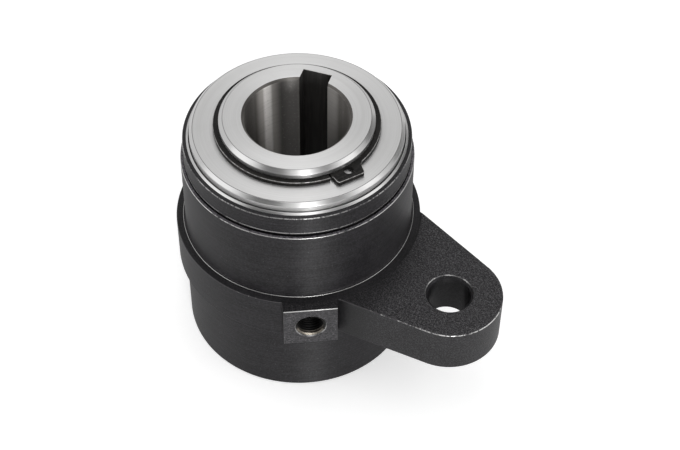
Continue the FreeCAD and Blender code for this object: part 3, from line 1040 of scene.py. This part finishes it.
# %% [markdown]
# ## Covers
#
# A thin disc runs with the hub at each end and keeps dirt out. Its outer edge has a wide chamfer,
# and a running gap of a third of a millimetre leaves a dark line round it. The lower one is the
# upper one upside down, so one function turns both.

# %% Turn both covers
def cover(name, node, face_height, back_height):
    """A rotating cover between its chamfered face and its back."""
    up = 1 if face_height > back_height else -1
    seat_r = hub_r + 0.01
    section = [
        (seat_r, back_height, 0.1),
        (cover_r, back_height, 0.3),
        (cover_r, face_height - up * cover_chamfer, 0.15),
        (cover_r - cover_chamfer, face_height, 0.12),
        (seat_r, face_height, 0.1),
    ]
    piece = as_piece(turned(section), name, [steel_cover])
    hand_over(piece, "hub", node)


cover("upper_dust_cover", "top_cover", cover_top, cover_bottom)
bottom_cover_span = span("bottom_cover")
cover("lower_dust_cover", "bottom_cover", bottom_cover_span[1], bottom_cover_span[2])

# %% [markdown]
# ## The hub
#
# One ground piece: journals, ring grooves and, hidden inside, the star of ramps that the rollers
# wedge on. Its upper end has a wide chamfer outside, and both mouths of the bore have a small dark
# one. The keyway is broached after turning, so it is a cut here too, coloured near black as painted
# shade inside the slot. The pockets are placed from the rollers in the frame, and so fit them
# exactly.

# %% Turn the hub
HUB_FACE, HUB_BORE, HUB_KEYWAY = range(3)
bore_chamfer = 0.85
clip_r, clip_bottom, clip_top = span("top_retaining_ring")
low_clip_bottom, low_clip_top = span("bottom_retaining_ring")[1:]
groove_r = hub_r - 1.5
hub_end_r = hub_face_edge + hub_end_chamfer
hub_section = [
    (shaft_r + bore_chamfer, hub_foot, 0.1),
    (hub_face_edge, hub_foot, 0.1),
    (hub_r, hub_foot + hub_chamfer, 0.1),
    (hub_r, low_clip_bottom, 0),
    (groove_r, low_clip_bottom, 0),
    (groove_r, low_clip_top, 0),
    (hub_r, low_clip_top, 0),
    (hub_r, star_bottom, 0),
    (star_r, star_bottom, 0.4),
    (star_r, star_top, 0.4),
    (hub_r, star_top, 0),
    (hub_r, clip_bottom, 0),
    (groove_r, clip_bottom, 0),
    (groove_r, clip_top, 0),
    (hub_r, clip_top, 0),
    (hub_end_r, clip_top, 0),
    (hub_end_r, hub_top - hub_end_chamfer, 0.1),
    (hub_face_edge, hub_top, 0.06),
    (shaft_r + bore_chamfer, hub_top, 0.1),
    (shaft_r, hub_top - bore_chamfer, 0.15),
    (shaft_r, hub_foot + bore_chamfer, 0.15),
]
hub_mesh = turned(hub_section)
near = 0.05
paint(hub_mesh, HUB_BORE, (0, shaft_r + bore_chamfer - near), (hub_foot + near, hub_top - near))
hub = as_piece(hub_mesh, "keyed_hub", [steel_hub, steel_bore, keyway_shade_finish])
print("hub turned")

# %% Broach the keyway and mill the roller pockets
keyway_direction = math.radians(109)
keyway_width = 10.0
keyway_depth = 4.0
roller_count = sum("roller_" in node and "spring" not in node for node in frame["nodes"])
pitch = math.tau / roller_count
first_pocket = keyway_direction + pitch / 2

roller_low, roller_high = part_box("roller_1")
roller_r = (roller_high.x - roller_low.x) / 2 / MM
at_first = Matrix.Rotation(-first_pocket, 3, "Z") @ middle_of("roller_1")
spring_width = 6.6
spring_gap = 0.16
roller_play = 0.7
ramp_gap = 0.02
ramp = at_first.x - roller_r - ramp_gap
pocket_low = at_first.y - roller_r - spring_width - spring_gap
pocket_high = at_first.y + roller_r + roller_play
print("ramp at", round(ramp, 2), "pocket", round(pocket_low, 2), "to", round(pocket_high, 2))


def cut_hub(bm, slot):
    """Cuts a form out of the hub and gives the new faces a slot."""
    for face in bm.faces:
        face.material_index = slot
    combine(hub, as_piece(bm, "hub_cutter"), "DIFFERENCE")


half_key = keyway_width / 2
key_sides = (-half_key, half_key)
cut_hub(block((2, shaft_r + keyway_depth), key_sides, (-2, hub_top + 2), keyway_direction), HUB_KEYWAY)
pocket_sides = (pocket_low, pocket_high)
pocket_heights = (star_bottom + hair, star_top - hair)
for i in range(roller_count):
    turn = first_pocket + i * pitch
    cut_hub(block((ramp, star_r + 1), pocket_sides, pocket_heights, turn), HUB_FACE)
hand_over(hub, "hub", "inner_race")

# %% [markdown]
# ## Retaining rings
#
# A flat spring ring snaps in the hub's groove over each cover. It is slit beside a single lug,
# whose hole takes the tip of the pliers. The lug is square beside the slit and runs out into the
# ring on its other side, so its outline is drawn as a plate and joined to the turned ring.

# %% Make both retaining rings
RING_FACE, RING_EDGE = range(2)
ring_r_outer = 27.7
lug_direction = math.radians(-18.6)
slit_direction = math.radians(-29)
shoulder = math.radians(13.0)
run_out = math.radians(15.7)
lug_root_r = groove_r + 0.6
shoulder_r = ring_r_outer + 0.6
lug_slit_side = -4.4
lug_far_side = 5.2
lug_corner = 0.9
lug_outline = [
    (lug_root_r, lug_slit_side, 0),
    (30.4, lug_slit_side, lug_corner),
    (31.3, lug_far_side, lug_corner),
    (shoulder_r * math.cos(shoulder), shoulder_r * math.sin(shoulder), 0.3),
    (ring_r_outer * math.cos(run_out), ring_r_outer * math.sin(run_out), 0),
    (lug_root_r * math.cos(run_out), lug_root_r * math.sin(run_out), 0),
]
plier_hole_at = Vector((27.45, 1.5, 0))
plier_hole_r = 1.6
half_slit = 0.35


def retaining_ring(name, node, bottom, top):
    """A spring ring between two heights, with its lug, plier hole and slit."""
    edge = 0.18
    seat_r = groove_r + 0.01
    ring_mesh = turned([
        (seat_r, bottom, 0.1),
        (ring_r_outer, bottom, edge),
        (ring_r_outer, top, edge),
        (seat_r, top, 0.1),
    ])
    paint_edge(ring_mesh, RING_EDGE, ring_r_outer, top, edge)
    ring = as_piece(ring_mesh, name, [blued, blued_rim])
    lug = plate(lug_outline, bottom, top)
    crown = FOOT + top * MM
    break_edges(lug, lambda side: lies_at(side, 2, crown), edge, RING_EDGE)
    turn = Matrix.Rotation(lug_direction, 3, "Z")
    bmesh.ops.rotate(lug, cent=(0, 0, 0), matrix=turn, verts=lug.verts)
    combine(ring, as_piece(lug, "lug"), "UNION")
    hole = drill([
        (plier_hole_r, bottom - 1),
        (plier_hole_r, top - 0.1),
        (plier_hole_r + 0.3, top + 0.2),
    ], steps=48)
    spot = turn @ (plier_hole_at * MM)
    bmesh.ops.translate(hole, vec=spot + Vector((0, 0, FOOT)), verts=hole.verts)
    combine(ring, as_piece(hole, "plier_hole"), "DIFFERENCE")
    slit_sides = (-half_slit, half_slit)
    slit = block((groove_r - 2, clip_r + 5), slit_sides, (bottom - 1, top + 1), slit_direction)
    combine(ring, as_piece(slit, "slit"), "DIFFERENCE")
    hand_over(ring, "hub", node)


retaining_ring("upper_spring_ring", "top_retaining_ring", clip_bottom, clip_top)
retaining_ring("lower_spring_ring", "bottom_retaining_ring", low_clip_bottom, low_clip_top)

# %% [markdown]
# ## Inner pieces
#
# The race, rollers, bushes and seals keep their construction meshes, because their shape is
# right. Each only takes the finish of what it is made of.

# %% Finish the inner pieces
inner_finishes = {
    "outer_race": steel_hard,
    "guide_plate": steel_hard,
    "roller_spring": steel_strip,
    "bush": bronze,
    "seal": rubber,
    "o_ring": rubber,
    "roller": steel_hard,
}
for node, piece in frame["nodes"].items():
    if piece.hide_render:
        continue
    finish = next(value for key, value in inner_finishes.items() if key in node)
    piece.data.materials.clear()
    piece.data.materials.append(finish)
print("inner pieces:", sum(not piece.hide_render for piece in frame["nodes"].values()))

# %% [markdown]
# ## Camera
#
# The photo's camera was found from ten circles of the object: how flat each ellipse is gives the
# height of the view, and how fast they shrink gives the distance. It stands before the pad, looks
# down at about 50 degrees and is turned by small angles so that the axis lands where it does in the
# photo. Its angles are in degrees, and its distance and aim in metres.

# %% Set up the camera
camera_azimuth = 38.547
camera_elevation = 49.753
camera_distance = 0.5798
camera_aim_height = 0.0215
camera_lens = 85.15
camera_pan = -1.466
camera_tilt = 1.173
camera_roll = 1.015

elevation = math.radians(camera_elevation)
back = Vector((0, -math.cos(elevation), math.sin(elevation)))
right = Vector((1, 0, 0))
up = back.cross(right)
orientation = Matrix((right, up, back)).transposed()
small_turns = (
    Matrix.Rotation(math.radians(camera_pan), 3, "Y")
    @ Matrix.Rotation(math.radians(camera_tilt), 3, "X")
    @ Matrix.Rotation(math.radians(-camera_roll), 3, "Z")
)
swing = Matrix.Rotation(math.radians(camera_azimuth), 3, "Z")
stand = swing @ (back * camera_distance + Vector((0, 0, camera_aim_height))) + Vector((0, 0, FOOT))

camera_data = bpy.data.cameras.new("camera")
camera_data.lens = camera_lens
camera_data.sensor_width = 36
camera = bpy.data.objects.new("camera", camera_data)
bpy.context.scene.collection.objects.link(camera)
camera.matrix_world = Matrix.Translation(stand) @ (swing @ orientation @ small_turns).to_4x4()
bpy.context.scene.camera = camera
print("camera stands at", [round(value, 3) for value in stand])

# %% [markdown]
# ## Floor, background and light
#
# The photo shows a white sweep under soft lamps. The floor takes the shadow, and only what the
# camera and mirror images see of it is lifted to white. Bright turned steel shows nothing but its
# surroundings: a broad lamp hangs overhead, four smaller ones stand left, in front, low in front
# and right, and three dark cards, which the camera doesn't see, draw the dark fans.

# %% Floor and world
floor_mesh = bmesh.new()
gap_under_foot = 0.00005
bmesh.ops.create_grid(floor_mesh, x_segments=1, y_segments=1, size=4)
bmesh.ops.translate(floor_mesh, vec=(0, 0, FOOT - gap_under_foot), verts=floor_mesh.verts)


def seen_directly(network):
    """1 where the camera, a reflection or glass looks, and 0 for the light on surfaces."""
    camera_ray = network.node("ShaderNodeLightPath", output="Is Camera Ray")
    glossy = camera_ray.other("Is Glossy Ray")
    through = camera_ray.other("Is Transmission Ray")
    return camera_ray.maths("MAXIMUM", camera_ray.maths("MAXIMUM", camera_ray, glossy), through)


sweep = Finish("white sweep")
paper = sweep.node("ShaderNodeBsdfDiffuse", values={"Color": grey(0.82)})
floor_lift = 0.5
lift = sweep.node("ShaderNodeEmission", values={"Strength": seen_directly(sweep) * floor_lift})
lit = sweep.node("ShaderNodeAddShader", values={0: paper, 1: lift})
sweep.node("ShaderNodeOutputMaterial", values={"Surface": lit})
floor = as_piece(floor_mesh, "floor", [sweep.material])
floor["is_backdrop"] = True

world = bpy.data.worlds.new("studio")
bpy.context.scene.world = world
sky = Network(world)
soft_light = 0.55
strength = soft_light + seen_directly(sky) * (1 - soft_light)
dome = sky.node("ShaderNodeBackground", values={"Color": grey(1.0), "Strength": strength})
sky.node("ShaderNodeOutputWorld", values={"Surface": dome})
print("sweep and sky ready")

# %% Lamps
def around(azimuth, elevation, distance):
    """A place round the object, from degrees and metres. Azimuth 0 is the camera's side."""
    turn, lift = math.radians(azimuth), math.radians(elevation)
    flat = distance * math.cos(lift)
    return swing @ Vector((flat * math.sin(turn), -flat * math.cos(turn), distance * math.sin(lift)))


def softbox(name, place, width, height, watts):
    """A lamp of this size in metres that faces the object."""
    data = bpy.data.lights.new(name, "AREA")
    data.shape = "RECTANGLE"
    data.size = width
    data.size_y = height
    data.energy = watts
    lamp = bpy.data.objects.new(name, data)
    bpy.context.scene.collection.objects.link(lamp)
    lamp.location = place
    lamp.rotation_mode = "QUATERNION"
    lamp.rotation_quaternion = (-lamp.location).to_track_quat("-Z", "Y")
    return lamp


softbox("overhead", around(180, 84, 0.9), 0.45, 1.0, 1.6)
softbox("left", around(-80, 32, 0.9), 0.5, 0.7, 1.0)
softbox("front", around(9, 44, 0.95), 0.15, 0.6, 0.48)
softbox("low_front", around(10, 6, 0.8), 0.16, 0.2, 3.2)
softbox("right", around(72, 32, 0.9), 0.34, 0.7, 0.8)
print("lamps on")

# %% Dark cards
def card(name, azimuth, width, low, high, level):
    """A dark card that stands upright round the object, between two heights in metres."""
    distance = 0.85
    bm = bmesh.new()
    bmesh.ops.create_grid(bm, x_segments=1, y_segments=1, size=0.5)
    upright = Matrix.Rotation(math.pi / 2, 4, "X")
    size = Matrix.Diagonal((width, 1, high - low, 1))
    place = around(azimuth, 0, distance) + Vector((0, 0, FOOT + (low + high) / 2))
    turn = Matrix.Rotation(math.radians(azimuth + camera_azimuth), 4, "Z")
    bmesh.ops.transform(bm, matrix=Matrix.Translation(place) @ turn @ size @ upright, verts=bm.verts)
    f = Finish(name + " felt")
    felt = f.node("ShaderNodeBsdfDiffuse", values={"Color": grey(level)})
    f.node("ShaderNodeOutputMaterial", values={"Surface": felt})
    piece = as_piece(bm, name, [f.material])
    piece.visible_camera = False
    piece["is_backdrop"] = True


card("left_card", -33, 0.56, 0.05, 1.4, 0.05)
card("right_card", 37, 0.3, 0.05, 0.95, 0.2)
card("far_card", 118, 0.5, 0.05, 0.7, 0.3)
print("cards stand")

# %% [markdown]
# ## Print the size, and finish
#
# The dressed object must keep the construction's size, so both boxes are written side by side.

# %% Finish
bpy.context.scene.view_settings.view_transform = "Standard"
bpy.context.view_layer.update()
dressed_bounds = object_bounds()
for name, corners in (("cad", frame_bounds), ("visual", dressed_bounds)):
    print(name, [[round(value / MM, 2) for value in corner] for corner in corners])
